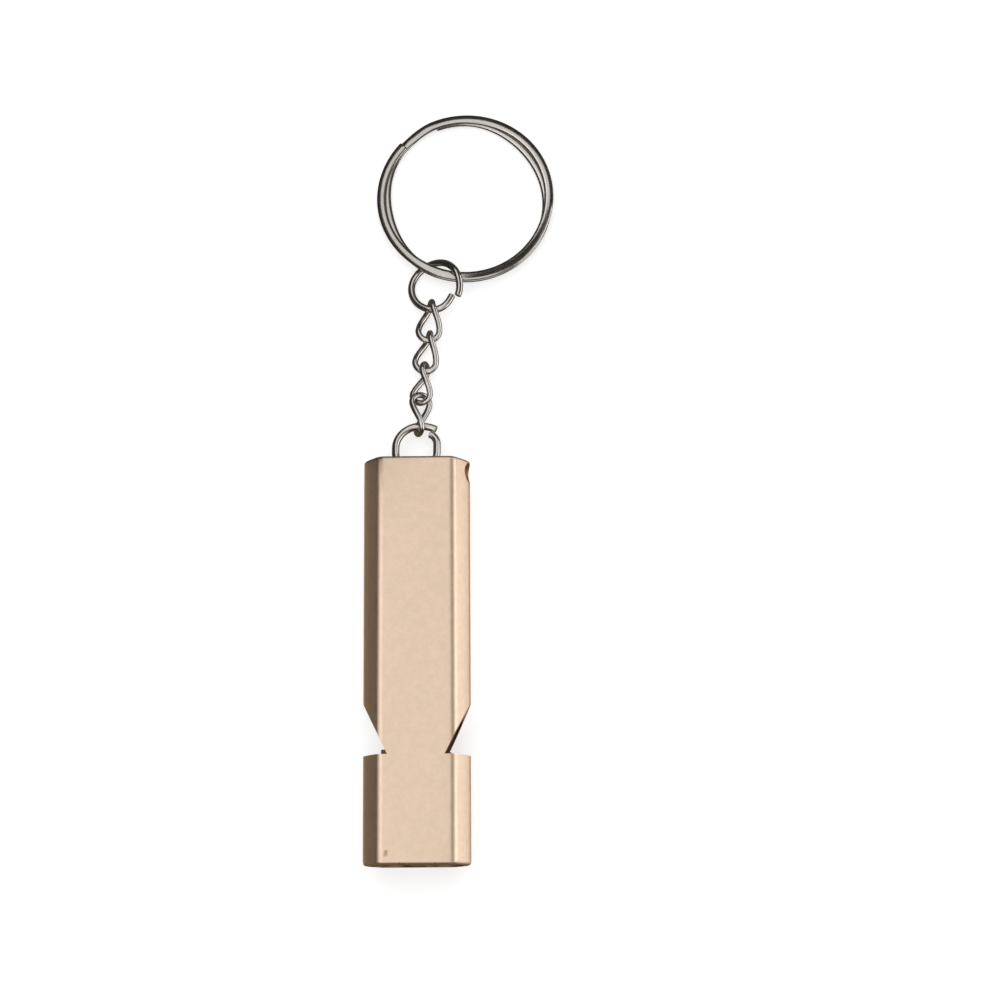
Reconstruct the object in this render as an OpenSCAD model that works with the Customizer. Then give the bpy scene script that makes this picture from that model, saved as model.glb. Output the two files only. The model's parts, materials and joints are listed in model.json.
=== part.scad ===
// Twin barrel survival whistle lying on its back, with its chain and split key ring.
// +X right, +Y from the mouthpiece towards the key ring, +Z up from the back face.
// The origin is the middle of the flat back face, and everything is in millimetres.

/* [Whistle body] */
// Length of the extruded body
body_length = 53.2; // [48:0.1:62]
// Width over the rounded sides
body_width = 14; // [13.6:0.1:16]
// Thickness from back face to front face
body_thickness = 8; // [7.6:0.1:10]
// Width of the flat front and back faces
flat_width = 9.8; // [9:0.1:10.4]
// Radius of the rounded nose along each side
nose_radius = 2.4; // [1.8:0.1:3]
// Radius of the crowned slope between nose and flat
crown_radius = 20; // [9:1:40]
// Rounding of the crease where a slope meets a flat
crease_radius = 0.5; // [0.2:0.05:0.8]
// Rounding of the end faces at the flats
end_radius = 0.4; // [0.2:0.05:0.8]
// Rounding of the end faces at the sides
corner_radius = 0.6; // [0.3:0.05:1]

/* [Barrels] */
// Wall left between a barrel and the rounded side
side_wall = 1; // [0.8:0.05:1.3]
// Wall left between the two barrels
web = 1; // [0.8:0.05:1.2]

/* [Voicing] */
// Length of the mouthpiece, from the blown end to the ledge
mouthpiece_length = 14.1; // [10:0.1:18]
// Length of the sloping ramp beyond the ledge
ramp_length = 6.8; // [5:0.1:9]
// Depth of the notch at the ledge, in from the side
notch_depth = 3.3; // [2.6:0.05:3.6]
// Height of the windway between plug flat and outer wall
windway_height = 1.45; // [0.8:0.05:1.8]
// How far the left plug stands past the ledge
left_plug_proud = 0.7; // [0:0.05:1]
// How far the right plug stands past the ledge
right_plug_proud = 0.3; // [0:0.05:1]
// Gap all round a plug in its barrel
plug_gap = 0.02; // [0.01:0.01:0.05]

/* [Tail] */
// Diameter of the hole drilled from the right side through the web
cross_hole = 2.8; // [2.5:0.1:3.1]
// Distance of that hole's centre from the tail end
cross_hole_inset = 1.7; // [1.65:0.05:2.4]
// Height of that hole's centre above the middle of the body
cross_hole_rise = 0.4; // [0:0.05:0.5]
// Thickness of the plugs that stop the barrels at the tail
stop_thickness = 2.5; // [1.5:0.1:4]
// Depth of the left stop below the tail end
left_stop_depth = 4.2; // [3.8:0.1:6]
// Depth of the right stop below the tail end
right_stop_depth = 5.2; // [3.8:0.1:6]

/* [Body ring] */
// Wire diameter of the ring through the web
body_ring_wire = 1; // [0.8:0.05:1.1]
// Centreline radius of its bend through the web
body_ring_radius = 2.75; // [2.6:0.05:3]
// Centreline radius of its bend up to the chain
body_ring_far_radius = 3.3; // [3:0.05:3.5]
// Length of its closed leg, on the left
body_ring_leg = 0.7; // [0.3:0.05:1]
// Length of its open leg, on the right
body_ring_open_leg = 1.25; // [0.8:0.05:1.4]
// Gap between the ring's wire and the wall of the web hole
web_hole_gap = 0.2; // [0.15:0.01:0.3]
// Direction in which the ring pulls in that hole, below the length axis
web_hole_pull = 45; // [20:1:60]
// Sideways shift of the ring along the web hole
body_ring_shift = -0.15; // [-0.4:0.05:0.2]
// Radius of the strand that is sprung outwards at the gap
body_ring_sprung_radius = 4.4; // [4:0.05:4.8]
// Radius of the tip that is bent inwards at the gap
body_ring_tip_radius = 1.7; // [1.5:0.05:1.9]

/* [Chain] */
// Wire diameter of the links
link_wire = 0.86; // [0.75:0.01:0.92]
// Length of a link over its wire
link_length = 6.2; // [5.8:0.02:7]
// Width of a link over its wire, before it is twisted
link_width = 3.75; // [3.6:0.05:3.9]
// Twist of a link from end to end
link_twist = 78; // [70:1:82]
// Gap where each link hangs in the piece before it, and the last one for the jump ring
link_play = [0.11, 0.22, 0.12, 0.12, 0.12]; // [0.08:0.01:0.4]
// How far each link hangs to the right of the middle of the piece before it
link_shift = [0.15, -0.1, -0.05, -0.1]; // [-0.2:0.05:0.2]
// Height of the chain's axis above the back face
chain_height = 1.92; // [1.9:0.02:2.2]
// Lean of each link to the right, from the body to the key ring
link_yaw = [3.5, 7.8, 8.3, 5]; // [-10:0.1:10]
// Turn of each link about the chain's axis, from the body to the key ring
link_roll = [-58, -14, 10, 12]; // [-70:1:20]

/* [Jump ring] */
// Wire diameter of the ring between chain and key ring
jump_wire = 0.94; // [0.8:0.02:1]
// Centreline radius of the ring
jump_radius = 3.15; // [3.1:0.05:3.2]
// Place on the ring where the chain holds it
jump_hold_angle = 261; // [255:1:268]
// Rise of the ring's plane for each millimetre to the right
jump_slope_x = 0.16; // [0.14:0.01:0.18]
// Rise of the ring's plane for each millimetre towards the key ring
jump_slope_y = -0.21; // [-0.22:0.01:-0.18]
// How much higher the strand over the key ring springs up
jump_spring_rise = 1.85; // [1.8:0.05:2]
// How far that strand's end sinks again beyond the key ring
jump_spring_drop = 0.95; // [0:0.05:1]
// How far that strand's end springs outwards
jump_spring_out = 0.35; // [0.3:0.05:0.5]
// How far the other end is bent inwards
jump_tip_in = 0.5; // [0.3:0.05:0.7]
// How far the ring is pulled out of round where the key ring hangs
jump_bulge = 0.45; // [0.45:0.05:0.6]

/* [Split key ring] */
// Outside diameter of the key ring
split_diameter = 23.6; // [22:0.2:24]
// Radial width of its flattened wire
split_width = 1.2; // [1.1:0.05:1.3]
// Thickness of one of its two coils
split_coil = 0.68; // [0.6:0.02:0.7]
// Gap between the two coils
split_coil_gap = 0.04; // [0.02:0.01:0.08]
// How far the coils stand side by side where they have spread
split_spread = 0.6; // [0:0.05:0.8]
// Directions in which the coils have spread most
split_spread_angles = [28, 160]; // [0:1:180]
// Direction from the jump ring's centre to the key ring's centre
split_direction = 71.5; // [68:0.5:75]
// Distance from the jump ring's centre to the key ring's wire
split_hang = 2; // [1.9:0.05:2.05]
// Tilt of the key ring where it rests on the jump ring
split_tilt = 3.1; // [3:0.05:3.4]
// Direction of the cut end, seen from the key ring's centre
split_end_angle = 138; // [100:1:160]
// Length of the step from one coil to the other, as an angle
split_step = 24; // [18:1:36]

/* [Hidden] */
$fn = 96;

gold = [0.87, 0.76, 0.68];
dark_gold = [0.6, 0.5, 0.42];
steel = [0.6, 0.59, 0.58];
bright_steel = [0.72, 0.71, 0.7];

// How far cuts run past the faces that they open
over = 1;
middle = body_thickness / 2;
half_length = body_length / 2;
half_width = body_width / 2;
// The bore of each barrel is what the walls leave of the body's width
barrel_bore = (body_width - web) / 2 - side_wall;
barrel_radius = barrel_bore / 2;
barrel_offset = (barrel_bore + web) / 2;
ledge_y = mouthpiece_length - half_length;
// Distance of the plug's flat from the barrel's axis
plug_flat = barrel_radius - windway_height;
hole_y = half_length - cross_hole_inset;
hole_z = middle + cross_hole_rise;

// The outline of a side: nose arc, crowned slope arc and crease arc, each tangent to the next.
// Points and angles are in the section's plane, with the width first and the height second.
nose_centre = [half_width - nose_radius, middle];
crease_point = [flat_width / 2, body_thickness];
crown_centre = circle_meet(nose_centre, crown_radius - nose_radius, crease_point, crown_radius);
crease_drop = body_thickness - crease_radius - crown_centre.y;
crease_centre = [crown_centre.x + sqrt(pow(crown_radius - crease_radius, 2) - pow(crease_drop, 2)),
                 body_thickness - crease_radius];
crown_start = crown_centre + crown_radius * unit(nose_centre - crown_centre);
crown_end = crown_centre + crown_radius * unit(crease_centre - crown_centre);
crown_start_angle = direction(nose_centre - crown_centre);
crown_end_angle = direction(crease_centre - crown_centre);

slope_steps = 10;
crease_steps = 5;

// Where the body ring's wire crosses the web, and its far end
hole_slack = (cross_hole - body_ring_wire) / 2 - web_hole_gap;
body_ring_middle = 0;
web_point = [body_ring_shift, hole_y + hole_slack * cos(web_hole_pull),
             hole_z - hole_slack * sin(web_hole_pull)];
body_ring_reach = body_ring_radius + body_ring_leg + body_ring_far_radius;
body_ring_dip = asin((web_point.z - chain_height) / body_ring_reach);
body_ring_far = web_point + body_ring_reach * [0, cos(body_ring_dip), -sin(body_ring_dip)];
sprung_end_angle = 62;
tip_end_angle = 65;

// The chain, from the body ring to the jump ring
link_radius = (link_width - link_wire) / 2;
link_reach = link_length - link_wire;
link_straight = link_reach - 2 * link_radius;
twist_span = link_straight + 1.5 * link_radius;
bend_steps = 14;
straight_steps = 7;
wire_sides = 12;
ring_to_link = (body_ring_wire + link_wire) / 2 + link_play[0];
link_to_jump = (link_wire + jump_wire) / 2 + link_play[4];
chain_start = [body_ring_middle + link_shift[0], body_ring_far.y - ring_to_link, chain_height];
link_foot = [for (i = 0, p = chain_start; i < len(link_yaw); i = i + 1,
                  p = p + (link_reach - link_wire - link_play[i]) * heading(link_yaw[i - 1])
                      + [i < len(link_yaw) ? link_shift[i] : 0, 0, 0]) p];
link_head = [for (i = [0:len(link_yaw) - 1]) link_foot[i] + link_reach * heading(link_yaw[i])];
last = len(link_yaw) - 1;

// The jump ring, whose centre follows from where the last link holds it
hold_point = link_head[last] - link_to_jump * heading(link_yaw[last]);
hold_arm = jump_radius * [cos(jump_hold_angle), sin(jump_hold_angle)];
jump_centre = [hold_point.x - hold_arm.x, hold_point.y - hold_arm.y,
               chain_height - jump_slope_x * hold_arm.x - jump_slope_y * hold_arm.y];
jump_start = -26;
jump_end = 335;
jump_steps = 60;
spring_from = 120;
spring_to = 31;
out_from = 55;
tip_from = 272;
bulge_half_angle = 80;

// The key ring, whose wire hangs in the jump ring
split_radius = (split_diameter - split_width) / 2;
split_height = 2 * split_coil + split_coil_gap;
split_centre = [jump_centre.x + (split_hang + split_radius) * cos(split_direction),
                jump_centre.y + (split_hang + split_radius) * sin(split_direction),
                split_height / 2 + (split_diameter / 2) * sin(split_tilt) + 0.02];
split_steps_per_turn = 66;
split_corner = 0.3;
split_edge = 0.12;
split_end_gap = 3;
spread_half_angle = 70;

function unit(v) = v / norm(v);
function direction(v) = atan2(v.y, v.x);
function heading(yaw) = [sin(yaw), cos(yaw), 0];
function smooth(t) = let (c = min(max(t, 0), 1)) c * c * (3 - 2 * c);

// The meeting point of two circles that lies nearer to the body's middle
function circle_meet(a, ra, b, rb) =
    let (d = norm(b - a), along = (ra * ra - rb * rb + d * d) / (2 * d),
         across = sqrt(ra * ra - along * along), e = (b - a) / d)
    a + along * e + across * [-e.y, e.x];

// Points on an arc, from one angle to another
function arc(centre, r, from, to, steps) =
    [for (i = [0:steps]) let (a = from + (to - from) * i / steps) centre + r * [cos(a), sin(a)]];

function mirror_z(points) = [for (i = [len(points) - 1:-1:0]) [points[i].x, body_thickness - points[i].y]];
function mirror_x(points) = [for (i = [len(points) - 1:-1:0]) [-points[i].x, points[i].y]];

// A wall of rings swept along a path, where normals give the section's first direction
function tangent(path, i, closed) =
    let (n = len(path))
    closed ? unit(path[(i + 1) % n] - path[(i + n - 1) % n])
           : unit(path[min(i + 1, n - 1)] - path[max(i - 1, 0)]);
function ring_at(path, normals, section, i, closed) =
    let (t = tangent(path, i, closed), side = unit(normals[i] - (normals[i] * t) * t), lift = cross(t, side))
    [for (s = section) path[i] + s.x * side + s.y * lift];

module swept(path, normals, sections, closed) {
    n = len(path);
    m = len(sections[0]);
    rings = [for (i = [0:n - 1]) each ring_at(path, normals, sections[i], i, closed)];
    walls = [for (i = [0:n - (closed ? 1 : 2)], j = [0:m - 1])
                [i * m + j, ((i + 1) % n) * m + j, ((i + 1) % n) * m + (j + 1) % m, i * m + (j + 1) % m]];
    caps = closed ? [] : [[for (j = [0:m - 1]) j], [for (j = [m - 1:-1:0]) (n - 1) * m + j]];
    polyhedron(rings, concat(walls, caps), convexity = 8);
}

// The same round section at every point of a path
function round_wire(d, path) =
    let (section = arc([0, 0], d / 2, 0, 360 - 360 / wire_sides, wire_sides - 1)) [for (p = path) section];

// The right side of the section, from the front crease over the slope and round the nose to the back
front_side = concat(arc(crease_centre, crease_radius, 90, crown_end_angle, crease_steps),
                    arc(crown_centre, crown_radius, crown_end_angle, crown_start_angle, slope_steps),
                    arc(nose_centre, nose_radius, crown_start_angle, 0, slope_steps));
right_side = concat(front_side, mirror_z(front_side));

module rounded_rectangle(size, r) {
    translate([-size.x / 2 + r, -size.y / 2]) square([size.x - 2 * r, size.y]);
    translate([-size.x / 2, -size.y / 2 + r]) square([size.x, size.y - 2 * r]);
    for (sx = [-1, 1], sy = [-1, 1])
        translate([sx * (size.x / 2 - r), sy * (size.y / 2 - r)]) circle(r);
}

// A long block with rounded ends whose faces stand at one angle about the length axis
module end_block(angle, reach, r) {
    translate([0, 0, middle]) rotate([0, -angle, 0]) linear_extrude(2 * body_width, center = true)
        rounded_rectangle([2 * reach, body_length], r);
}

// The extruded bar with its end edges rounded at the sides, the slopes and the flats
module bar() {
    slope = (crown_start_angle + crown_end_angle) / 2;
    slope_reach = (crown_centre - [0, middle]) * [cos(slope), sin(slope)] + crown_radius;
    intersection() {
        translate([0, half_length, 0]) rotate([90, 0, 0]) linear_extrude(body_length)
            polygon(concat(right_side, mirror_x(right_side)));
        end_block(0, half_width, corner_radius);
        end_block(slope, slope_reach, corner_radius);
        end_block(-slope, slope_reach, corner_radius);
        end_block(90, middle, end_radius);
    }
}

module barrel(side, r, from, to) {
    translate([side * barrel_offset, to, middle]) rotate([90, 0, 0]) cylinder(r = r, h = to - from);
}

// The sound hole: a square ledge at the mouthpiece and a ramp that rises to the side
module notch(side) {
    apex = half_width - notch_depth;
    slope = notch_depth / ramp_length;
    translate([0, 0, -over]) linear_extrude(body_thickness + 2 * over)
        polygon([[side * apex, ledge_y],
                 [side * (half_width + over), ledge_y],
                 [side * (half_width + over), ledge_y + ramp_length + over / slope]]);
}

module whistle_body() {
    color(gold) difference() {
        bar();
        for (side = [-1, 1]) {
            barrel(side, barrel_radius, -half_length - over, half_length + over);
            notch(side);
        }
        translate([-barrel_offset, hole_y, hole_z]) rotate([0, 90, 0])
            cylinder(d = cross_hole, h = barrel_offset + half_width + over);
    }
}

// A plug in the mouthpiece whose outward flat leaves the windway open
module fipple_plug(side, proud) {
    color(dark_gold) intersection() {
        barrel(side, barrel_radius - plug_gap, -half_length + end_radius, ledge_y + proud);
        translate([side > 0 ? 0 : -barrel_offset - plug_flat, -half_length, 0])
            cube([barrel_offset + plug_flat, body_length, body_thickness]);
    }
}

module fipple_plug_left() { fipple_plug(-1, left_plug_proud); }
module fipple_plug_right() { fipple_plug(1, right_plug_proud); }

// A disc that stops a barrel below the cross hole
module tail_stop(side, depth) {
    color(dark_gold)
        barrel(side, barrel_radius - plug_gap, half_length - depth - stop_thickness, half_length - depth);
}

module tail_stop_left() { tail_stop(-1, left_stop_depth); }
module tail_stop_right() { tail_stop(1, right_stop_depth); }

// A bend of round wire in the XY plane
module wire_bend(r, wire, from, to) {
    rotate([0, 0, from]) rotate_extrude(angle = to - from) translate([r, 0]) circle(d = wire, $fn = 32);
}

module body_ring() {
    r = body_ring_radius;
    far = body_ring_far_radius;
    sprung = body_ring_sprung_radius;
    tip = body_ring_tip_radius;
    color(steel) translate(web_point) rotate([-body_ring_dip, 0, 0]) {
        translate([0, r, 0]) wire_bend(r, body_ring_wire, 180, 360);
        translate([-r, r, 0]) ring_leg(body_ring_leg);
        translate([far - r, r + body_ring_leg, 0]) wire_bend(far, body_ring_wire, 90, 180);
        translate([far - r, body_ring_reach - sprung, 0])
            wire_bend(sprung, body_ring_wire, sprung_end_angle, 90);
        translate([r, r, 0]) ring_leg(body_ring_open_leg);
        translate([r - tip, r + body_ring_open_leg, 0]) wire_bend(tip, body_ring_wire, 0, tip_end_angle);
    }
}

module ring_leg(length) { rotate([-90, 0, 0]) cylinder(d = body_ring_wire, h = length, $fn = 32); }

// The flat outline of a link: place along the link, place across it, and the outward direction
link_outline = concat(
    [for (i = [0:bend_steps - 1]) let (a = 180 * i / bend_steps)
        [link_straight / 2 + link_radius * sin(a), link_radius * cos(a), sin(a), cos(a)]],
    [for (i = [0:straight_steps - 1]) [link_straight * (0.5 - i / straight_steps), -link_radius, 0, -1]],
    [for (i = [0:bend_steps - 1]) let (a = 180 + 180 * i / bend_steps)
        [-link_straight / 2 + link_radius * sin(a), link_radius * cos(a), sin(a), cos(a)]],
    [for (i = [0:straight_steps - 1]) [link_straight * (i / straight_steps - 0.5), link_radius, 0, 1]]);

// A closed link twisted about its length, standing on its foot
module chain_link(i) {
    turn = [for (p = link_outline) link_roll[i] + link_twist * smooth(0.5 - p[0] / twist_span)];
    path = [for (k = [0:len(turn) - 1]) let (p = link_outline[k])
               [p[1] * sin(turn[k]), p[0] + link_reach / 2, p[1] * cos(turn[k])]];
    normals = [for (k = [0:len(turn) - 1]) let (p = link_outline[k])
                  [p[3] * sin(turn[k]), p[2], p[3] * cos(turn[k])]];
    color(i % 2 == 0 ? steel : bright_steel) translate(link_foot[i]) rotate([0, 0, -link_yaw[i]])
        swept(path, normals, round_wire(link_wire, path), true);
}

module chain_link_1() { chain_link(3); }
module chain_link_2() { chain_link(2); }
module chain_link_3() { chain_link(1); }
module chain_link_4() { chain_link(0); }

// The jump ring is sprung open: its free strand passes over the key ring, and the rest lies under it
function jump_r(a) = jump_radius
    + jump_spring_out * smooth((out_from - a) / (out_from - jump_start))
    - jump_tip_in * smooth((a - tip_from) / (jump_end - tip_from))
    + jump_bulge * smooth(1 - abs(a - split_direction) / bulge_half_angle);
function jump_point(a) =
    let (x = jump_r(a) * cos(a), y = jump_r(a) * sin(a))
    jump_centre + [x, y, jump_slope_x * x + jump_slope_y * y
                   + jump_spring_rise * smooth((spring_from - a) / (spring_from - spring_to))
                   - jump_spring_drop * smooth((spring_to - a) / (spring_to - jump_start))];

module jump_ring() {
    angles = [for (i = [0:jump_steps]) jump_start + (jump_end - jump_start) * i / jump_steps];
    path = [for (a = angles) jump_point(a)];
    color(steel) swept(path, [for (a = angles) [cos(a), sin(a), 0]], round_wire(jump_wire, path), false);
}

// The section of one coil, rounded more at its outer face than where the coils meet.
// Its first direction is inwards and its second is up, and turn goes from 0 at the top to 1 below.
function coil_section(turn) =
    let (w = split_width / 2, h = split_coil / 2,
         top = split_corner + (split_edge - split_corner) * turn,
         low = split_edge + (split_corner - split_edge) * turn)
    concat(arc([w - low, low - h], low, -90, 0, 2), arc([w - top, h - top], top, 0, 90, 2),
           arc([top - w, h - top], top, 90, 180, 2), arc([low - w, low - h], low, 180, 270, 2));

// How far the coils have spread in one direction from the key ring's centre
function coil_spread(a) =
    let (away = [for (s = split_spread_angles) abs((a - s + 540) % 360 - 180)])
    split_spread * smooth(1 - min(away) / spread_half_angle);

// Two turns of flattened wire that step from the upper coil down to the lower one
module split_ring() {
    count = 2 * split_steps_per_turn;
    sweep = 720 - split_step - split_end_gap;
    lift = (split_coil + split_coil_gap) / 2;
    angles = [for (i = [0:count]) sweep * i / count];
    turn = [for (a = angles) smooth((a - sweep / 2 + split_step / 2) / split_step)];
    path = [for (i = [0:count])
               let (a = split_end_angle + angles[i], r = split_radius + (0.5 - turn[i]) * coil_spread(a))
               [r * cos(a), r * sin(a), lift * (1 - 2 * turn[i])]];
    color(steel) translate(split_centre) rotate([-split_tilt, 0, 0])
        swept(path, [for (p = path) [-p.x, -p.y, 0]], [for (t = turn) coil_section(t)], false);
}

whistle_body();
fipple_plug_left();
fipple_plug_right();
tail_stop_left();
tail_stop_right();
body_ring();
chain_link_1();
chain_link_2();
chain_link_3();
chain_link_4();
jump_ring();
split_ring();
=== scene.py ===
# Looks of a twin barrel survival whistle, its chain and its key ring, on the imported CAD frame
import json
from math import asin, atan2, cos, pi, radians, sin, sqrt

import bmesh
import bpy
from mathutils import Matrix, Vector


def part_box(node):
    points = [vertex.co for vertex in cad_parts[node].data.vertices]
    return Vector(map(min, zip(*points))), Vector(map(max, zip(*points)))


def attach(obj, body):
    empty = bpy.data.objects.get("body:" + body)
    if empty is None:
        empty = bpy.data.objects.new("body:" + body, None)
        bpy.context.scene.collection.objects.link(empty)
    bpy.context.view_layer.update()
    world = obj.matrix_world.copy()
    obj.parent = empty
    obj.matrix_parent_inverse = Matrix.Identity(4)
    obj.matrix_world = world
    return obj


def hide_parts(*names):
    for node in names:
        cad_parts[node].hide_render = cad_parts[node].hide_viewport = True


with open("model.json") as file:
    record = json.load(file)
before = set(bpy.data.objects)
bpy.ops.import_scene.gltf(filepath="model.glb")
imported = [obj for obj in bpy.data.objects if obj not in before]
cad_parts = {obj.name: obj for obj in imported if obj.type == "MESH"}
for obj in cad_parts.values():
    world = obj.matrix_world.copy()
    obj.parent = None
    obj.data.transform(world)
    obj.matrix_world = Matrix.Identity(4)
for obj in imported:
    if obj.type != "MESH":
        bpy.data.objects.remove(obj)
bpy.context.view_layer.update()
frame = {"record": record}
mm = 0.001
joints = {j["name"]: Vector(j["pos_m"]) for j in frame["record"]["behaviour"]["joints"]}
mounts = {m["name"]: m for m in frame["record"]["mounts"]}
scene = bpy.context.scene
scene.view_settings.view_transform = "Standard"
print("frame loaded")

# --- camera, at the photograph's angle ---
shot = {
    "place": Vector((14.18, -44.36, 343.61)) * mm,
    "ahead": Vector((-0.0093, 0.1899, -0.9818)),
    "up": Vector((0.0078, 0.9818, 0.1899)),
    "lens": 94.2,
    "clip": (10 * mm, 5),
}


def placeCamera():
    data = bpy.data.cameras.new("photoCamera")
    data.lens = shot["lens"]
    data.clip_start, data.clip_end = shot["clip"]
    camera = bpy.data.objects.new("photoCamera", data)
    scene.collection.objects.link(camera)
    back = -shot["ahead"].normalized()
    across = shot["up"].cross(back).normalized()
    turned = Matrix((across, back.cross(across), back)).transposed().to_4x4()
    camera.matrix_world = Matrix.Translation(shot["place"]) @ turned
    scene.camera = camera


placeCamera()

# --- floor and light ---
studio = {
    "floorSize": 2.4,
    "floorColour": (0.84, 0.84, 0.84, 1),
    "floorLift": 0.6,
    "paintRoughness": 0.9,
    "worldLight": 0.3,
    # lights and cards are placed from here, in metres
    "middle": Vector((0.004, 0.024, 0)),
    # name, direction to the light, distance, width, height, radiance, whether it gleams
    "softboxes": [
        ("overhead", (0.0, 0.19, 1), 0.62, 0.56, 0.9, 0.95, False),
        ("leftStrip", (-0.5, 0.05, 0.87), 0.66, 0.14, 1.0, 0.8, True),
        ("rightStrip", (1, 0.0, 0.12), 0.6, 0.16, 1.0, 1.4, True),
    ],
    # cards that shape the gleams: middle, the way they face, width, height, colour, glow
    "cards": [
        ("leftCard", (-0.6, 0, 0.12), (1, 0, 0), 1.4, 0.5, (0.05, 0.045, 0.04), 0),
        ("nearCard", (0, -0.62, 0.1), (0, 1, 0), 1.4, 0.5, (0.06, 0.055, 0.05), 0),
        ("farCard", (0, 0.72, 0.1), (0, -1, 0), 1.4, 0.5, (0.06, 0.055, 0.05), 0),
        ("highRightCard", (0.33, 0, 0.37), (-0.67, 0, -0.74), 0.9, 0.26, (0.5, 0.46, 0.42), 0),
        ("tableCard", (0, 0, 0.00001), (0, 0, 1), 1.0, 1.0, (0.23, 0.19, 0.145), 0),
        ("whiteCard", (0.085, -0.024, 0.00002), (0, 0, 1), 0.075, 0.15, (0.8, 0.8, 0.8), 0.84),
        ("warmCard", (0.0065, -0.024, 0.00003), (0, 0, 1), 0.056, 0.006, (0.74, 0.6, 0.42), 0.05),
        ("leftNearCard", (-0.0135, -0.024, 0.00002), (0, 0, 1), 0.056, 0.006, (0.78, 0.65, 0.52), 0),
        # low ones close round the chain and the key ring
        ("wireLeftCard", (-0.016, 0.033, 0.015), (1, 0, 0), 0.056, 0.03, (0.05, 0.05, 0.05), 0),
        ("wireRightCard", (0.021, 0.0505, 0.014), (-1, 0, 0), 0.021, 0.028, (0.09, 0.085, 0.08), 0),
        ("wireFarCard", (0.0025, 0.061, 0.015), (0, -1, 0), 0.037, 0.03, (0.07, 0.065, 0.06), 0),
        ("wireRoofCard", (0.010, 0.0335, 0.014), (0, 0, -1), 0.019, 0.016, (0.1, 0.095, 0.09), 0),
    ],
}


def facing(direction):
    # a direction of length 1, and the turn that points a plane's front along it
    away = Vector(direction).normalized()
    aside = Vector((0, 1, 0)) if abs(away.y) < 0.5 else Vector((1, 0, 0))
    across = (aside - aside.dot(away) * away).normalized()
    return away, Matrix((across, away.cross(across), away)).transposed()


def softbox(name, direction, distance, width, height, radiance, gleams):
    light = bpy.data.lights.new(name, "AREA")
    light.shape = "RECTANGLE"
    light.size, light.size_y = height, width
    light.energy = radiance * pi * width * height
    lamp = bpy.data.objects.new(name, light)
    scene.collection.objects.link(lamp)
    away, turned = facing(direction)
    lamp.location = studio["middle"] + away * distance
    lamp.visible_glossy = gleams
    lamp.rotation_mode = "QUATERNION"
    lamp.rotation_quaternion = turned.to_quaternion()


def stagePlane(name, size, material, place=Matrix.Identity(4)):
    bm = bmesh.new()
    bmesh.ops.create_grid(bm, x_segments=1, y_segments=1, size=0.5)
    bmesh.ops.scale(bm, vec=(*size, 1), verts=list(bm.verts))
    bmesh.ops.transform(bm, matrix=place, verts=list(bm.verts))
    mesh = bpy.data.meshes.new(name)
    bm.to_mesh(mesh)
    bm.free()
    mesh.materials.append(material)
    plane = bpy.data.objects.new(name, mesh)
    scene.collection.objects.link(plane)
    return plane


def plainPaint(name, colour):
    paint = bpy.data.materials.new(name)
    paint.use_nodes = True
    shader = paint.node_tree.nodes["Principled BSDF"]
    shader.inputs["Base Color"].default_value = colour
    shader.inputs["Roughness"].default_value = studio["paintRoughness"]
    return paint


def layCard(name, middle, faces, width, height, colour, glow):
    # seen by gleams alone
    paint = plainPaint(name, (*colour, 1))
    shader = paint.node_tree.nodes["Principled BSDF"]
    shader.inputs["Emission Color"].default_value = (*colour, 1)
    shader.inputs["Emission Strength"].default_value = glow
    place = Matrix.Translation(studio["middle"] + Vector(middle)) @ facing(faces)[1].to_4x4()
    card = stagePlane(name, (width, height), paint, place)
    card.visible_camera = False
    card.visible_shadow = False
    card.visible_diffuse = False


def layFloor():
    # pale floor that is lifted to white for the camera and keeps the object's shadow
    paint = plainPaint("paleFloor", studio["floorColour"])
    tree = paint.node_tree
    path = tree.nodes.new("ShaderNodeLightPath")
    lift = tree.nodes.new("ShaderNodeMath")
    lift.operation = "MULTIPLY"
    lift.inputs[1].default_value = studio["floorLift"]
    tree.links.new(path.outputs["Is Camera Ray"], lift.inputs[0])
    shader = tree.nodes["Principled BSDF"]
    shader.inputs["Emission Color"].default_value = (1, 1, 1, 1)
    tree.links.new(lift.outputs[0], shader.inputs["Emission Strength"])
    stagePlane("floor", (studio["floorSize"], studio["floorSize"]), paint)


def lightWorld():
    # white where the camera, a gleam or a see-through part looks, and a plain level elsewhere
    world = bpy.data.worlds.new("studio")
    world.use_nodes = True
    tree = world.node_tree
    sky = tree.nodes["Background"]
    sky.inputs["Color"].default_value = (1, 1, 1, 1)
    path = tree.nodes.new("ShaderNodeLightPath")
    seen = path.outputs["Is Camera Ray"]
    for ray in ("Is Glossy Ray", "Is Transmission Ray"):
        either = tree.nodes.new("ShaderNodeMath")
        either.operation = "MAXIMUM"
        tree.links.new(seen, either.inputs[0])
        tree.links.new(path.outputs[ray], either.inputs[1])
        seen = either.outputs[0]
    level = tree.nodes.new("ShaderNodeMapRange")
    level.inputs["To Min"].default_value = studio["worldLight"]
    level.inputs["To Max"].default_value = 1
    tree.links.new(seen, level.inputs["Value"])
    tree.links.new(level.outputs["Result"], sky.inputs["Strength"])
    scene.world = world


layFloor()
lightWorld()
for box in studio["softboxes"]:
    softbox(*box)
for card in studio["cards"]:
    layCard(*card)
print("camera, floor and light placed")

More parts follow.
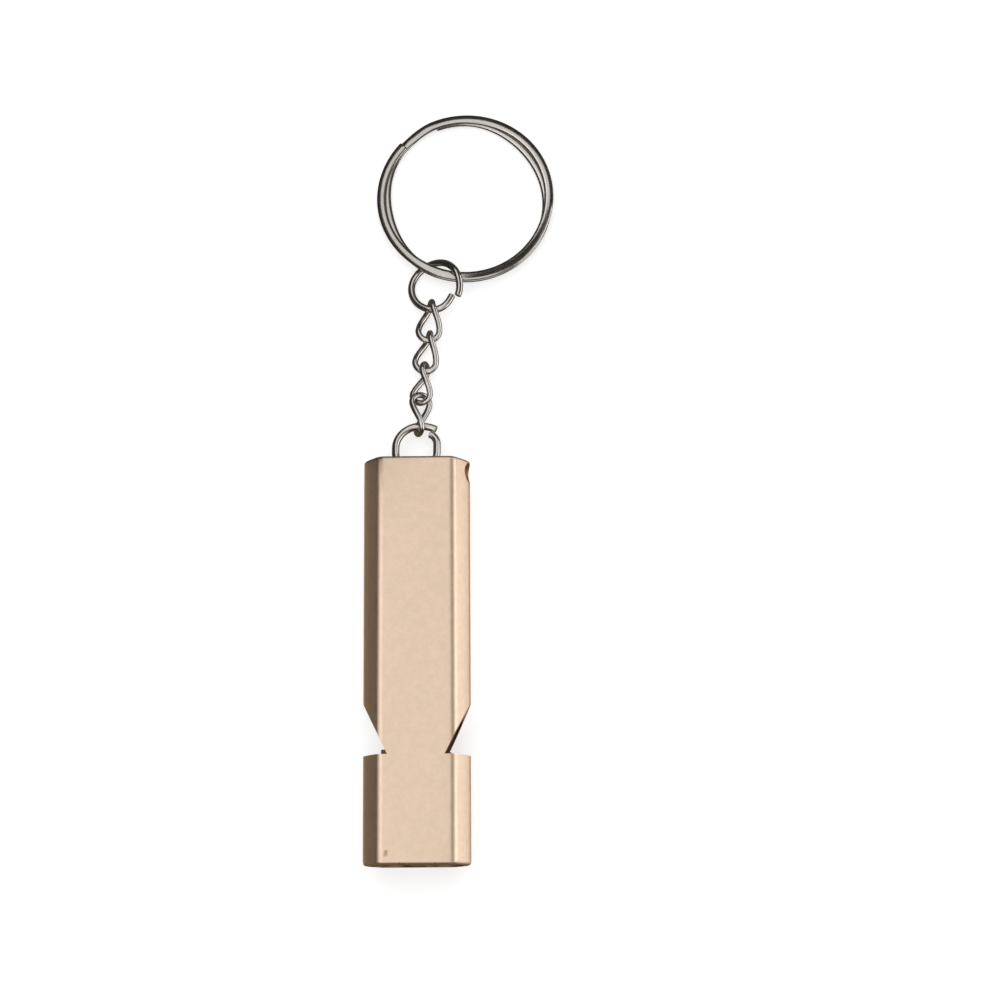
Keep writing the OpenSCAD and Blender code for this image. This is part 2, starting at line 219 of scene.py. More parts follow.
# --- materials ---
finishes = {
    "gold": {
        "colour": (0.81, 0.622, 0.472), "deep": (0.8, 0.612, 0.462), "roughness": (0.36, 0.38),
        "patch": 90, "grain": 3600, "relief": 0.004 * mm, "speckle": 0.08,
    },
    # a darker, redder copy of the gold: painted shade on the wall of the hole that crosses the
    # barrels
    "paintedHoleShadeGold": {
        "colour": (0.6, 0.3, 0.15), "deep": (0.5, 0.23, 0.11), "roughness": (0.3, 0.4),
        "patch": 600, "grain": 3200, "relief": 0.004 * mm, "speckle": 0.15,
    },
    # a darker copy of the gold: painted shade on the walls inside the barrels
    "paintedBoreShadeGold": {
        "colour": (0.42, 0.29, 0.19), "deep": (0.32, 0.21, 0.13), "roughness": (0.35, 0.5),
        "patch": 600, "grain": 3200, "relief": 0.004 * mm, "speckle": 0.15,
    },
    # the darkest copy of the gold: painted shade on the plugs that sit deep in the barrels
    "paintedPlugShadeGold": {
        "colour": (0.2, 0.14, 0.1), "deep": (0.13, 0.085, 0.06), "roughness": (0.45, 0.6),
        "patch": 600, "grain": 3200, "relief": 0.006 * mm, "speckle": 0.3,
    },
    "wire": {
        "colour": (0.7, 0.67, 0.635), "deep": (0.58, 0.55, 0.515), "roughness": (0.16, 0.26),
        "patch": 420, "grain": 5200, "relief": 0.002 * mm, "speckle": 0.16,
    },
    "keyRing": {
        "colour": (0.66, 0.63, 0.6), "deep": (0.52, 0.49, 0.455), "roughness": (0.16, 0.26),
        "patch": 260, "grain": 5200, "relief": 0.002 * mm, "speckle": 0.14,
    },
}
# the noises under every finish: detail and roughness, and the range of values that shows
skin = {
    "patchNoise": (4, 0.6),
    "patchRange": (0.36, 0.66),
    "fineNoise": (2, 0.55),
    "coarseNoise": (1, 0.5),
    "coarseScale": 0.3,
    "grainRange": (0.75, 1.25),
}
# small marks on the front, each with its place and size in mm
marks = {
    "colour": (0.36, 0.25, 0.14),
    "spots": [
        ((-3.85, -25.3, 8.0), 0.38),
        ((-3.8, -24.95, 8.0), 0.34),
        ((-2.1, -26.4, 7.85), 0.24),
        ((-1.6, -26.45, 7.8), 0.18),
        ((2.4, -26.45, 7.8), 0.18),
    ],
}


def groupSockets(group, inputs, outputs):
    for name, kind in inputs:
        group.interface.new_socket(name=name, in_out="INPUT", socket_type=kind)
    for name, kind in outputs:
        group.interface.new_socket(name=name, in_out="OUTPUT", socket_type=kind)
    return group.nodes.new("NodeGroupInput"), group.nodes.new("NodeGroupOutput")


def noiseNode(tree, vector, scale, detail, roughness):
    noise = tree.nodes.new("ShaderNodeTexNoise")
    tree.links.new(vector, noise.inputs["Vector"])
    tree.links.new(scale, noise.inputs["Scale"])
    noise.inputs["Detail"].default_value = detail
    noise.inputs["Roughness"].default_value = roughness
    return noise.outputs["Fac"]


def stretchNode(tree, value, low, high):
    # spreads the values between low and high over 0 to 1
    stretch = tree.nodes.new("ShaderNodeMapRange")
    stretch.inputs["From Min"].default_value = low
    stretch.inputs["From Max"].default_value = high
    tree.links.new(value, stretch.inputs["Value"])
    return stretch.outputs["Result"]


def makePatchGroup():
    # slow changes of tone and gloss over the surface
    group = bpy.data.node_groups.new("patchyTone", "ShaderNodeTree")
    source, result = groupSockets(
        group,
        [("Scale", "NodeSocketFloat"), ("Dull", "NodeSocketFloat"), ("Bright", "NodeSocketFloat")],
        [("Mask", "NodeSocketFloat"), ("Roughness", "NodeSocketFloat")])
    coords = group.nodes.new("ShaderNodeTexCoord").outputs["Object"]
    noise = noiseNode(group, coords, source.outputs["Scale"], *skin["patchNoise"])
    mask = stretchNode(group, noise, *skin["patchRange"])
    gloss = group.nodes.new("ShaderNodeMapRange")
    group.links.new(noise, gloss.inputs["Value"])
    group.links.new(source.outputs["Bright"], gloss.inputs["To Min"])
    group.links.new(source.outputs["Dull"], gloss.inputs["To Max"])
    group.links.new(mask, result.inputs["Mask"])
    group.links.new(gloss.outputs["Result"], result.inputs["Roughness"])
    return group


def makeGrainGroup():
    # fine pits of a blasted or plated skin
    group = bpy.data.node_groups.new("fineGrain", "ShaderNodeTree")
    source, result = groupSockets(
        group,
        [("Scale", "NodeSocketFloat")],
        [("Height", "NodeSocketFloat"), ("Mask", "NodeSocketFloat")])
    coords = group.nodes.new("ShaderNodeTexCoord").outputs["Object"]
    fine = noiseNode(group, coords, source.outputs["Scale"], *skin["fineNoise"])
    wider = group.nodes.new("ShaderNodeMath")
    wider.operation = "MULTIPLY"
    wider.inputs[1].default_value = skin["coarseScale"]
    group.links.new(source.outputs["Scale"], wider.inputs[0])
    coarse = noiseNode(group, coords, wider.outputs[0], *skin["coarseNoise"])
    both = group.nodes.new("ShaderNodeMath")
    both.operation = "ADD"
    group.links.new(fine, both.inputs[0])
    group.links.new(coarse, both.inputs[1])
    mask = stretchNode(group, both.outputs[0], *skin["grainRange"])
    group.links.new(both.outputs[0], result.inputs["Height"])
    group.links.new(mask, result.inputs["Mask"])
    return group


def makeSpotGroup():
    # a soft round mark about one point
    group = bpy.data.node_groups.new("roundSpot", "ShaderNodeTree")
    source, result = groupSockets(
        group,
        [("Centre", "NodeSocketVector"), ("Size", "NodeSocketFloat")],
        [("Mask", "NodeSocketFloat")])
    coords = group.nodes.new("ShaderNodeTexCoord").outputs["Object"]
    away = group.nodes.new("ShaderNodeVectorMath")
    away.operation = "DISTANCE"
    group.links.new(coords, away.inputs[0])
    group.links.new(source.outputs["Centre"], away.inputs[1])
    fade = group.nodes.new("ShaderNodeMapRange")
    fade.inputs["To Min"].default_value = 1
    fade.inputs["To Max"].default_value = 0
    group.links.new(away.outputs["Value"], fade.inputs["Value"])
    group.links.new(source.outputs["Size"], fade.inputs["From Max"])
    group.links.new(fade.outputs["Result"], result.inputs["Mask"])
    return group


patchGroup = makePatchGroup()
grainGroup = makeGrainGroup()
spotGroup = makeSpotGroup()


def addGroup(tree, group, **values):
    node = tree.nodes.new("ShaderNodeGroup")
    node.node_tree = group
    for name, value in values.items():
        node.inputs[name].default_value = value
    return node


def mixColours(tree, mask, low, high):
    # low and high are colours or the sockets that give them
    mix = tree.nodes.new("ShaderNodeMix")
    mix.data_type = "RGBA"
    tree.links.new(mask, mix.inputs["Factor"])
    # a Mix node's colour sockets are inputs 6 and 7 and output 2
    for socket, value in ((mix.inputs[6], low), (mix.inputs[7], high)):
        if hasattr(value, "is_linked"):
            tree.links.new(value, socket)
        else:
            socket.default_value = (*value, 1)
    return mix.outputs[2]


def metalFinish(name, finish, spots=()):
    metal = bpy.data.materials.new(name)
    metal.use_nodes = True
    tree = metal.node_tree
    shader = tree.nodes["Principled BSDF"]
    bright, dull = finish["roughness"]
    patch = addGroup(tree, patchGroup, Scale=finish["patch"], Bright=bright, Dull=dull)
    grain = addGroup(tree, grainGroup, Scale=finish["grain"])
    tone = mixColours(tree, patch.outputs["Mask"], finish["deep"], finish["colour"])
    darker = tuple(c * (1 - finish["speckle"]) for c in finish["colour"])
    tone = mixColours(tree, grain.outputs["Mask"], darker, tone)
    for centre, size in spots:
        spot = addGroup(tree, spotGroup, Centre=Vector(centre) * mm, Size=size * mm)
        tone = mixColours(tree, spot.outputs["Mask"], tone, marks["colour"])
    tree.links.new(tone, shader.inputs["Base Color"])
    tree.links.new(patch.outputs["Roughness"], shader.inputs["Roughness"])
    shader.inputs["Metallic"].default_value = 1
    bump = tree.nodes.new("ShaderNodeBump")
    bump.inputs["Distance"].default_value = finish["relief"]
    tree.links.new(grain.outputs["Height"], bump.inputs["Height"])
    tree.links.new(bump.outputs["Normal"], shader.inputs["Normal"])
    return metal


blastedGold = metalFinish("blastedGold", finishes["gold"], marks["spots"])
# darker copies of the same gold, painted shade for the cross hole, the bores and the plugs in them
paintedHoleShadeGold = metalFinish("paintedHoleShadeGold", finishes["paintedHoleShadeGold"])
paintedBoreShadeGold = metalFinish("paintedBoreShadeGold", finishes["paintedBoreShadeGold"])
paintedPlugShadeGold = metalFinish("paintedPlugShadeGold", finishes["paintedPlugShadeGold"])
platedWire = metalFinish("platedWire", finishes["wire"])
platedRing = metalFinish("platedRing", finishes["keyRing"])
print("materials mixed")


# --- shared making ---
shared = {
    # how near points lie to become one
    "pieceWeld": 0.0002 * mm,
    "arcWeld": 0.0005 * mm,
    "outlineWeld": 0.001 * mm,
    "cutWeld": 0.0001 * mm,
    # over this angle in degrees an edge shades as a sharp one
    "sharpAngle": 40,
    # over this angle in degrees an edge is rounded, in so many steps
    "edgeAngle": 30,
    "edgeSteps": 3,
    "wireEndSteps": 4,
}


def asPiece(bm, name, material, body, node, sharpAngle=shared["sharpAngle"]):
    bmesh.ops.remove_doubles(bm, verts=bm.verts, dist=shared["pieceWeld"])
    bmesh.ops.recalc_face_normals(bm, faces=bm.faces)
    mesh = bpy.data.meshes.new(name)
    bm.to_mesh(mesh)
    bm.free()
    mesh.shade_smooth()
    mesh.set_sharp_from_angle(angle=radians(sharpAngle))
    mesh.materials.append(material)
    piece = bpy.data.objects.new(name, mesh)
    scene.collection.objects.link(piece)
    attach(piece, body)
    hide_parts(node)
    return piece


def smooth(t):
    # eases from 0 to 1 and stays there
    c = min(max(t, 0), 1)
    return c * c * (3 - 2 * c)


def arcPath(centre, radius, start, end, steps):
    angles = [radians(start + (end - start) * i / steps) for i in range(steps + 1)]
    return [Vector((centre[0] + radius * cos(a), centre[1] + radius * sin(a), 0)) for a in angles]


def station(points, outward, i, closed):
    # where a section stands on a path: first side outwards, last side along the path
    n = len(points)
    before = points[i - 1] if closed or i else points[0]
    after = points[(i + 1) % n] if closed else points[min(i + 1, n - 1)]
    along = (after - before).normalized()
    side = (outward[i] - outward[i].dot(along) * along).normalized()
    turned = Matrix((side, along.cross(side), along)).transposed().to_4x4()
    return Matrix.Translation(points[i]) @ turned


def sweep(bm, points, outward, closed=False, endBevel=0.0):
    # carries the section that is in the mesh along a path by extruding its loop
    loop = list(bm.edges)
    first = loop
    here = station(points, outward, 0, closed)
    bmesh.ops.transform(bm, matrix=here, verts=list(bm.verts))
    for i in range(1, len(points)):
        made = bmesh.ops.extrude_edge_only(bm, edges=loop)["geom"]
        verts = {g for g in made if isinstance(g, bmesh.types.BMVert)}
        loop = [g for g in made if isinstance(g, bmesh.types.BMEdge) and set(g.verts) <= verts]
        there = station(points, outward, i, closed)
        bmesh.ops.transform(bm, matrix=there @ here.inverted(), verts=list(verts))
        here = there
    if closed:
        bmesh.ops.bridge_loops(bm, edges=first + loop)
        return
    for rim in (first, loop):
        bmesh.ops.edgeloop_fill(bm, edges=rim)
    bmesh.ops.bevel(bm, geom=first + loop, offset=endBevel, offset_type="OFFSET",
                    segments=shared["wireEndSteps"], profile=0.5, affect="EDGES", material=-1,
                    clamp_overlap=True)


def roundSection(diameter, sides):
    bm = bmesh.new()
    bmesh.ops.create_circle(bm, segments=sides, radius=diameter / 2)
    return bm


def rod(radius, length, sides, turnedAbout, place):
    # a closed cylinder, upright until it is turned about an axis
    bm = bmesh.new()
    bmesh.ops.create_cone(bm, cap_ends=True, segments=sides, radius1=radius, radius2=radius,
                          depth=length)
    turned = Matrix.Rotation(pi / 2, 3, turnedAbout)
    bmesh.ops.rotate(bm, cent=(0, 0, 0), matrix=turned, verts=list(bm.verts))
    bmesh.ops.translate(bm, vec=place, verts=list(bm.verts))
    return bm


def extrudeFaces(bm, way):
    made = bmesh.ops.extrude_face_region(bm, geom=list(bm.faces))["geom"]
    far = [g for g in made if isinstance(g, bmesh.types.BMVert)]
    bmesh.ops.translate(bm, vec=way, verts=far)


def edgeModifier(piece, width, angle=shared["edgeAngle"]):
    bevel = piece.modifiers.new("softEdges", "BEVEL")
    bevel.width = width
    bevel.segments = shared["edgeSteps"]
    bevel.limit_method = "ANGLE"
    bevel.angle_limit = radians(angle)
    bevel.harden_normals = False
    bevel.use_clamp_overlap = True


# --- whistle body ---
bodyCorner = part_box("whistle_body")[1]
whistle = {
    "halfWidth": bodyCorner.x,
    "halfLength": bodyCorner.y,
    "thickness": bodyCorner.z,
    "flatWidth": 9.8 * mm,
    "noseRadius": 2.4 * mm,
    "crownRadius": 20 * mm,
    "creaseRadius": 1.5 * mm,
    # along the crease, the crowned slope and half the nose
    "arcSteps": (8, 18, 22),
    "endFillet": 0.5 * mm,
    "filletSteps": 6,
    "edgeWidth": 0.09 * mm,
    "edgeAngle": 32,
    "sharpAngle": 30,
    # neighbouring faces that differ by less, in degrees, become one
    "levelAngle": 0.5,
    "bore": 5.5 * mm,
    "web": 1 * mm,
    "boreSides": 128,
    "mouthpiece": 14.1 * mm,
    "ramp": 6.8 * mm,
    "notchDepth": 3.3 * mm,
    "crossHole": 2.8 * mm,
    "crossSides": 72,
    "crossInset": 1.7 * mm,
    "crossRise": 0.4 * mm,
    # how far the cutting shapes stand out past the bar
    "over": 1 * mm,
}
barrelMiddle = (whistle["bore"] + whistle["web"]) / 2


def circleMeet(a, ra, b, rb):
    # the meeting point of two circles that lies nearer to the middle line
    d = (b - a).length
    along = (ra * ra - rb * rb + d * d) / (2 * d)
    across = sqrt(ra * ra - along * along)
    e = (b - a) / d
    return a + along * e + across * Vector((-e.y, e.x))


def spinOn(bm, vert, centre, angle, steps):
    # runs an arc on from a vertex, from the front face towards the right side
    made = bmesh.ops.spin(bm, geom=[vert], cent=(centre.x, 0, centre.y), axis=(0, 1, 0),
                          dvec=(0, 0, 0), angle=angle, steps=steps, use_merge=False,
                          use_duplicate=False)
    return next(g for g in made["geom_last"] if isinstance(g, bmesh.types.BMVert))


def sectionOfBody():
    # the bar seen from its end, with its middle at the origin
    w = whistle
    top = w["thickness"] / 2
    nose = Vector((w["halfWidth"] - w["noseRadius"], 0))
    creasePoint = Vector((w["flatWidth"] / 2, top))
    crown = circleMeet(nose, w["crownRadius"] - w["noseRadius"], creasePoint, w["crownRadius"])
    drop = top - w["creaseRadius"] - crown.y
    reach = sqrt((w["crownRadius"] - w["creaseRadius"]) ** 2 - drop ** 2)
    crease = Vector((crown.x + reach, top - w["creaseRadius"]))
    crownEnd = atan2(crease.y - crown.y, crease.x - crown.x)
    crownStart = atan2(nose.y - crown.y, nose.x - crown.x)
    bm = bmesh.new()
    vert = bm.verts.new((crease.x, 0, top))
    creaseSteps, crownSteps, noseSteps = w["arcSteps"]
    vert = spinOn(bm, vert, crease, pi / 2 - crownEnd, creaseSteps)
    vert = spinOn(bm, vert, crown, crownEnd - crownStart, crownSteps)
    spinOn(bm, vert, nose, crownStart, noseSteps)
    bmesh.ops.remove_doubles(bm, verts=bm.verts, dist=shared["arcWeld"])
    for axis in ("Z", "X"):
        bmesh.ops.mirror(bm, geom=list(bm.verts) + list(bm.edges), matrix=Matrix.Identity(4),
                         merge_dist=shared["outlineWeld"], axis=axis)
    bmesh.ops.remove_doubles(bm, verts=bm.verts, dist=shared["outlineWeld"])
    ring = sorted(bm.verts, key=lambda v: atan2(v.co.z, v.co.x))
    bm.faces.new(ring)
    return bm


def makeBar():
    w = whistle
    bm = sectionOfBody()
    start = (0, -w["halfLength"], w["thickness"] / 2)
    bmesh.ops.translate(bm, vec=start, verts=list(bm.verts))
    extrudeFaces(bm, (0, 2 * w["halfLength"], 0))
    bmesh.ops.recalc_face_normals(bm, faces=bm.faces)
    atEnd = [e for e in bm.edges
             if abs(e.verts[0].co.y - e.verts[1].co.y) < shared["outlineWeld"]]
    bmesh.ops.bevel(bm, geom=atEnd, offset=w["endFillet"], offset_type="OFFSET",
                    segments=w["filletSteps"], profile=0.5, affect="EDGES", material=-1,
                    clamp_overlap=False)
    return bm


def boreCutter(side):
    w = whistle
    place = (side * barrelMiddle, 0, w["thickness"] / 2)
    return rod(w["bore"] / 2, 2 * (w["halfLength"] + w["over"]), w["boreSides"], "X", place)


def notchCutter(side):
    # a square ledge at the mouthpiece and a ramp that rises to the side
    w = whistle
    apex = w["halfWidth"] - w["notchDepth"]
    ledge = w["mouthpiece"] - w["halfLength"]
    slope = w["notchDepth"] / w["ramp"]
    outer = w["halfWidth"] + w["over"]
    corners = [(apex, ledge), (outer, ledge), (outer, ledge + w["ramp"] + w["over"] / slope)]
    bm = bmesh.new()
    bm.faces.new([bm.verts.new((side * x, y, -w["over"])) for x, y in corners])
    extrudeFaces(bm, (0, 0, w["thickness"] + 2 * w["over"]))
    return bm


def crossHoleCutter():
    # from the right side to the middle of the left barrel
    w = whistle
    start, end = -barrelMiddle, w["halfWidth"] + w["over"]
    place = ((start + end) / 2, w["halfLength"] - w["crossInset"],
             w["thickness"] / 2 + w["crossRise"])
    return rod(w["crossHole"] / 2, end - start, w["crossSides"], "Y", place)


def bareObject(bm, name):
    bmesh.ops.recalc_face_normals(bm, faces=bm.faces)
    mesh = bpy.data.meshes.new(name)
    bm.to_mesh(mesh)
    bm.free()
    made = bpy.data.objects.new(name, mesh)
    scene.collection.objects.link(made)
    return made


def carve(bm, cutters):
    # cuts each shape out of the first one and gives the result as a new bmesh
    bar = bareObject(bm, "bar")
    tools = [bareObject(cutter, "cutter") for cutter in cutters]
    for tool in tools:
        cut = bar.modifiers.new("cut", "BOOLEAN")
        cut.operation = "DIFFERENCE"
        cut.solver = "MANIFOLD"
        cut.object = tool
    bpy.context.view_layer.update()
    carved = bar.evaluated_get(bpy.context.evaluated_depsgraph_get()).to_mesh()
    result = bmesh.new()
    result.from_mesh(carved)
    for gone in [bar, *tools]:
        bpy.data.objects.remove(gone)
    return result


def wallKind(place):
    # 1 on the wall of the hole that crosses the barrels, 2 on the wall of a barrel; these slots hold
    # darker gold copies, painted shade in the hollows
    w = whistle
    allowance = w["edgeWidth"] / 4
    aside, up = abs(place.x) - barrelMiddle, place.z - w["thickness"] / 2
    along, rise = place.y - w["halfLength"] + w["crossInset"], up - w["crossRise"]
    if sqrt(along ** 2 + rise ** 2) < w["crossHole"] / 2 + allowance:
        return 1
    return 2 if sqrt(aside ** 2 + up ** 2) < w["bore"] / 2 + allowance else 0


def makeBody():
    w = whistle
    cutters = [boreCutter(-1), boreCutter(1), notchCutter(-1), notchCutter(1), crossHoleCutter()]
    bm = carve(makeBar(), cutters)
    bmesh.ops.dissolve_limit(bm, angle_limit=radians(w["levelAngle"]), verts=list(bm.verts),
                             edges=list(bm.edges))
    piece = asPiece(bm, "whistleBar", blastedGold, "whistle", "whistle_body",
                    w["sharpAngle"])
    # the cross hole and the barrels' walls take darker copies of the gold: painted shade in the
    # hollows
    piece.data.materials.append(paintedHoleShadeGold)
    piece.data.materials.append(paintedBoreShadeGold)
    for face in piece.data.polygons:
        face.material_index = wallKind(face.center)
    edgeModifier(piece, w["edgeWidth"], w["edgeAngle"])


makeBody()
print("whistle body carved")

# --- plugs in the barrels ---
plug = {"sides": 96, "edgeWidth": 0.08 * mm, "stopEdge": 0.2 * mm}


def makeFipple(side, name):
    # a disc that stands across the barrel, cut flat on its outer side and drawn out
    low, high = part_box("fipple_plug_" + side)
    r = (high.z - low.z) / 2
    inner, flat = (high.x, low.x) if side == "left" else (low.x, high.x)
    outward = Vector((-1 if side == "left" else 1, 0, 0))
    axis = Vector((inner, low.y, (low.z + high.z) / 2)) + outward * r
    upright = Matrix.Rotation(pi / 2, 3, "X")
    bm = bmesh.new()
    bmesh.ops.create_circle(bm, cap_ends=True, segments=plug["sides"], radius=r)
    bmesh.ops.rotate(bm, cent=(0, 0, 0), matrix=upright, verts=list(bm.verts))
    bmesh.ops.translate(bm, vec=axis, verts=list(bm.verts))
    bmesh.ops.bisect_plane(bm, geom=list(bm.verts) + list(bm.edges) + list(bm.faces),
                           dist=shared["cutWeld"], plane_co=(flat, 0, 0), plane_no=outward,
                           clear_outer=True)
    extrudeFaces(bm, (0, high.y - low.y, 0))
    # the plug takes the darkest gold copy, painted shade for its place deep in the barrel
    piece = asPiece(bm, name, paintedPlugShadeGold, "whistle", "fipple_plug_" + side)
    edgeModifier(piece, plug["edgeWidth"])


def makeStop(side, name):
    low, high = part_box("tail_stop_" + side)
    bm = rod((high.z - low.z) / 2, high.y - low.y, plug["sides"], "X", (low + high) / 2)
    # the stop takes the darkest gold copy, painted shade for its place deep in the barrel
    piece = asPiece(bm, name, paintedPlugShadeGold, "whistle", "tail_stop_" + side)
    edgeModifier(piece, plug["stopEdge"])


for side in ("left", "right"):
    makeFipple(side, side + "FipplePlug")
    makeStop(side, side + "TailStop")
print("plugs seated")

# --- ring through the web ---
webRing = {
    "wire": 1 * mm,
    "radius": 2.75 * mm,
    "farRadius": 3.3 * mm,
    "leg": 0.7 * mm,
    "openLeg": 1.25 * mm,
    "sprungRadius": 4.4 * mm,
    "sprungAngle": 62,
    "tipRadius": 1.7 * mm,
    "tipAngle": 65,
    # over the sprung end, the far bend, the bend in the web and the tip
    "steps": (10, 24, 48, 16),
    "sides": 24,
    "endBevel": 0.12 * mm,
}
chainHeight = joints["link_4_on_ring"].z


def makeWebRing():
    v = webRing
    r, far = v["radius"], v["farRadius"]
    reach = r + v["leg"] + far
    web = joints["ring_in_web"]
    dip = asin((web.z - chainHeight) / reach)
    sprungSteps, farSteps, webSteps, tipSteps = v["steps"]
    sprung = (far - r, reach - v["sprungRadius"])
    tip = (r - v["tipRadius"], r + v["openLeg"])
    flat = arcPath(sprung, v["sprungRadius"], v["sprungAngle"], 90, sprungSteps)
    flat += arcPath((far - r, r + v["leg"]), far, 90, 180, farSteps)[1:]
    flat += arcPath((0, r), r, 180, 360, webSteps)
    flat += arcPath(tip, v["tipRadius"], 0, v["tipAngle"], tipSteps)
    tilt = Matrix.Translation(web) @ Matrix.Rotation(-dip, 4, "X")
    middle = tilt @ Vector((0, r + v["leg"], 0))
    points = [tilt @ p for p in flat]
    bm = roundSection(v["wire"], v["sides"])
    sweep(bm, points, [p - middle for p in points], endBevel=v["endBevel"])
    asPiece(bm, "webRing", platedWire, "body_ring", "body_ring")


makeWebRing()
print("web ring bent")

# --- chain of twisted links ---
chain = {
    "wire": 0.86 * mm,
    # across the plated wire, a little under the size that sets the links' pitch
    "section": 0.82 * mm,
    "length": 6.2 * mm,
    "width": 3.75 * mm,
    "twist": 78,
    # bend radii that the twist takes up beyond the straight sides
    "twistReach": 1.5,
    # from each link to the next in mm, and last the play to the jump ring
    "play": (0.22, 0.12, 0.12, 0.12),
    "shift": (-0.1, -0.05, -0.1),
    # each link's turn about the upright and about its own length
    "yaw": (3.5, 7.8, 8.3, 5),
    "roll": (-58, -14, 10, 12),
    "bendSteps": 24,
    "straightSteps": 12,
    "sides": 24,
    # from the whistle to the key ring
    "names": ("chain_link_4", "chain_link_3", "chain_link_2", "chain_link_1"),
}
linkReach = chain["length"] - chain["wire"]


def heading(yaw):
    return Vector((sin(radians(yaw)), cos(radians(yaw)), 0))


def linkFeet():
    foot = joints["link_4_on_ring"].copy()
    feet = []
    for i, yaw in enumerate(chain["yaw"]):
        feet.append(foot.copy())
        if i + 1 < len(chain["yaw"]):
            foot += (linkReach - chain["wire"] - chain["play"][i] * mm) * heading(yaw)
            foot.x += chain["shift"][i] * mm
    return feet


def linkOutline():
    # place along the link, place across it, and the outward direction
    r = (chain["width"] - chain["wire"]) / 2
    half = linkReach / 2 - r
    bends, straights = chain["bendSteps"], chain["straightSteps"]
    outline = []
    for end in (1, -1):
        for i in range(bends):
            a = pi * i / bends
            outline.append((end * (half + r * sin(a)), end * r * cos(a), end * sin(a), end * cos(a)))
        for i in range(straights):
            outline.append((end * half * (1 - 2 * i / straights), -end * r, 0, -end))
    return outline, 2 * half + chain["twistReach"] * r


def makeLink(i, foot):
    outline, twistSpan = linkOutline()
    place = Matrix.Translation(foot) @ Matrix.Rotation(-radians(chain["yaw"][i]), 4, "Z")
    points, outward = [], []
    for along, across, outAlong, outAcross in outline:
        turn = radians(chain["roll"][i] + chain["twist"] * smooth(0.5 - along / twistSpan))
        point = Vector((across * sin(turn), along + linkReach / 2, across * cos(turn)))
        out = Vector((outAcross * sin(turn), outAlong, outAcross * cos(turn)))
        points.append(place @ point)
        outward.append(place.to_3x3() @ out)
    bm = roundSection(chain["section"], chain["sides"])
    sweep(bm, points, outward, closed=True)
    node = chain["names"][i]
    asPiece(bm, "twistedLink" + node[-1], platedWire, node, node)


feet = linkFeet()
for i, foot in enumerate(feet):
    makeLink(i, foot)
print("chain linked")

# --- jump ring, sprung open over the key ring ---
jump = {
    "wire": 0.94 * mm,
    "radius": 3.15 * mm,
    "hold": 261,
    "slopeX": 0.16,
    "slopeY": -0.21,
    "springRise": 1.85 * mm,
    "springDrop": 0.95 * mm,
    "springOut": 0.35 * mm,
    "tipIn": 0.5 * mm,
    "bulge": 0.45 * mm,
    "bulgeAngle": 71.5,
    "bulgeHalf": 80,
    "start": -26,
    "end": 335,
    "springFrom": 120,
    "springTo": 31,
    "outFrom": 55,
    "tipFrom": 272,
    "steps": 150,
    "sides": 24,
    "endBevel": 0.12 * mm,
}


def jumpCentre():
    yaw = chain["yaw"][-1]
    head = feet[-1] + linkReach * heading(yaw)
    toJump = (chain["wire"] + jump["wire"]) / 2 + chain["play"][-1] * mm
    hold = head - toJump * heading(yaw)
    arm = jump["radius"] * Vector((cos(radians(jump["hold"])), sin(radians(jump["hold"])), 0))
    return Vector((hold.x - arm.x, hold.y - arm.y,
                   chainHeight - jump["slopeX"] * arm.x - jump["slopeY"] * arm.y))


def jumpPoint(a, centre):
    v = jump
    r = v["radius"] + v["springOut"] * smooth((v["outFrom"] - a) / (v["outFrom"] - v["start"]))
    r -= v["tipIn"] * smooth((a - v["tipFrom"]) / (v["end"] - v["tipFrom"]))
    r += v["bulge"] * smooth(1 - abs(a - v["bulgeAngle"]) / v["bulgeHalf"])
    x, y = r * cos(radians(a)), r * sin(radians(a))
    z = v["slopeX"] * x + v["slopeY"] * y
    z += v["springRise"] * smooth((v["springFrom"] - a) / (v["springFrom"] - v["springTo"]))
    z -= v["springDrop"] * smooth((v["springTo"] - a) / (v["springTo"] - v["start"]))
    return centre + Vector((x, y, z))


def makeJumpRing():
    v = jump
    centre = jumpCentre()
    whole = v["end"] - v["start"]
    angles = [v["start"] + whole * i / v["steps"] for i in range(v["steps"] + 1)]
    points = [jumpPoint(a, centre) for a in angles]
    outward = [Vector((cos(radians(a)), sin(radians(a)), 0)) for a in angles]
    bm = roundSection(v["wire"], v["sides"])
    sweep(bm, points, outward, endBevel=v["endBevel"])
    asPiece(bm, "jumpRing", platedWire, "jump_ring", "jump_ring")


makeJumpRing()
print("jump ring sprung")

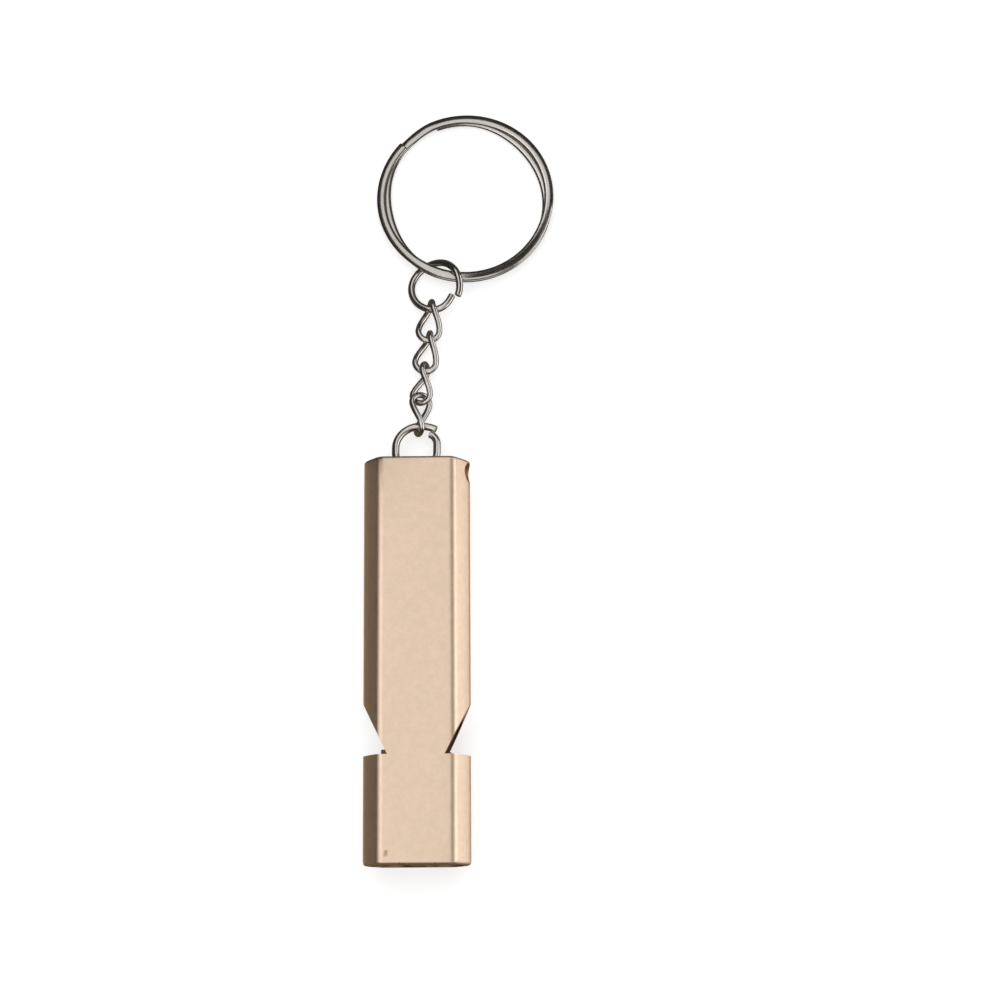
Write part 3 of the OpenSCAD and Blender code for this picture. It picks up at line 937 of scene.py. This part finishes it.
# --- split key ring ---
keyRing = {
    "solidDiameter": 23.6 * mm,
    "diameter": 23.85 * mm,
    "hold": 251.5,
    "width": 1.24 * mm,
    "coil": 0.68 * mm,
    "coilGap": 0.04 * mm,
    "sides": 32,
    "tilt": 3.1,
    "endAngle": 138,
    "turns": 2,
    "step": 24,
    "endGap": 3,
    # how far apart the coils lie, and the share of it that the upper one stands out by
    "spread": 0.72 * mm,
    "outwards": 0.18,
    # middle and half reach, in degrees, of the two places where they do
    "spreads": ((38, 68), (192, 58)),
    # the degrees over which the lower coil comes back at its end
    "endFade": 55,
    "steps": 360,
    "endBevel": 0.12 * mm,
}


def between(a, b):
    # the smaller angle between two directions, in degrees
    return abs((a - b + 540) % 360 - 180)


def coilSpread(a):
    share = max(1 - between(a, middle) / half for middle, half in keyRing["spreads"])
    return keyRing["spread"] * smooth(share)


def flatWireSection():
    # a round wire pressed flat, which leaves its faces crowned
    bm = roundSection(1, keyRing["sides"])
    bmesh.ops.scale(bm, vec=(keyRing["width"], keyRing["coil"], 1), verts=list(bm.verts))
    return bm


def makeKeyRing():
    v = keyRing
    radius = (v["diameter"] - v["width"]) / 2
    lift = (v["coil"] + v["coilGap"]) / 2
    whole = 360 * v["turns"] - v["step"] - v["endGap"]
    middle = Matrix.Translation(mounts["key_loop"]["pos_m"])
    place = middle @ Matrix.Rotation(-radians(v["tilt"]), 4, "X")
    # grows away from the jump ring, so that the wire keeps its place in it
    hold = Vector((cos(radians(v["hold"])), sin(radians(v["hold"])), 0))
    place @= Matrix.Translation(-hold * (v["diameter"] - v["solidDiameter"]) / 2)
    points, outward = [], []
    for i in range(v["steps"] + 1):
        gone = whole * i / v["steps"]
        a = v["endAngle"] + gone
        turn = smooth((gone - whole / 2 + v["step"] / 2) / v["step"])
        r = radius + (v["outwards"] - turn) * coilSpread(a) * smooth((whole - gone) / v["endFade"])
        way = Vector((cos(radians(a)), sin(radians(a)), 0))
        points.append(place @ (way * r + Vector((0, 0, lift * (1 - 2 * turn)))))
        outward.append(place.to_3x3() @ way)
    bm = flatWireSection()
    sweep(bm, points, outward, endBevel=v["endBevel"])
    asPiece(bm, "keyRing", platedRing, "split_ring", "split_ring")


makeKeyRing()
print("key ring coiled")
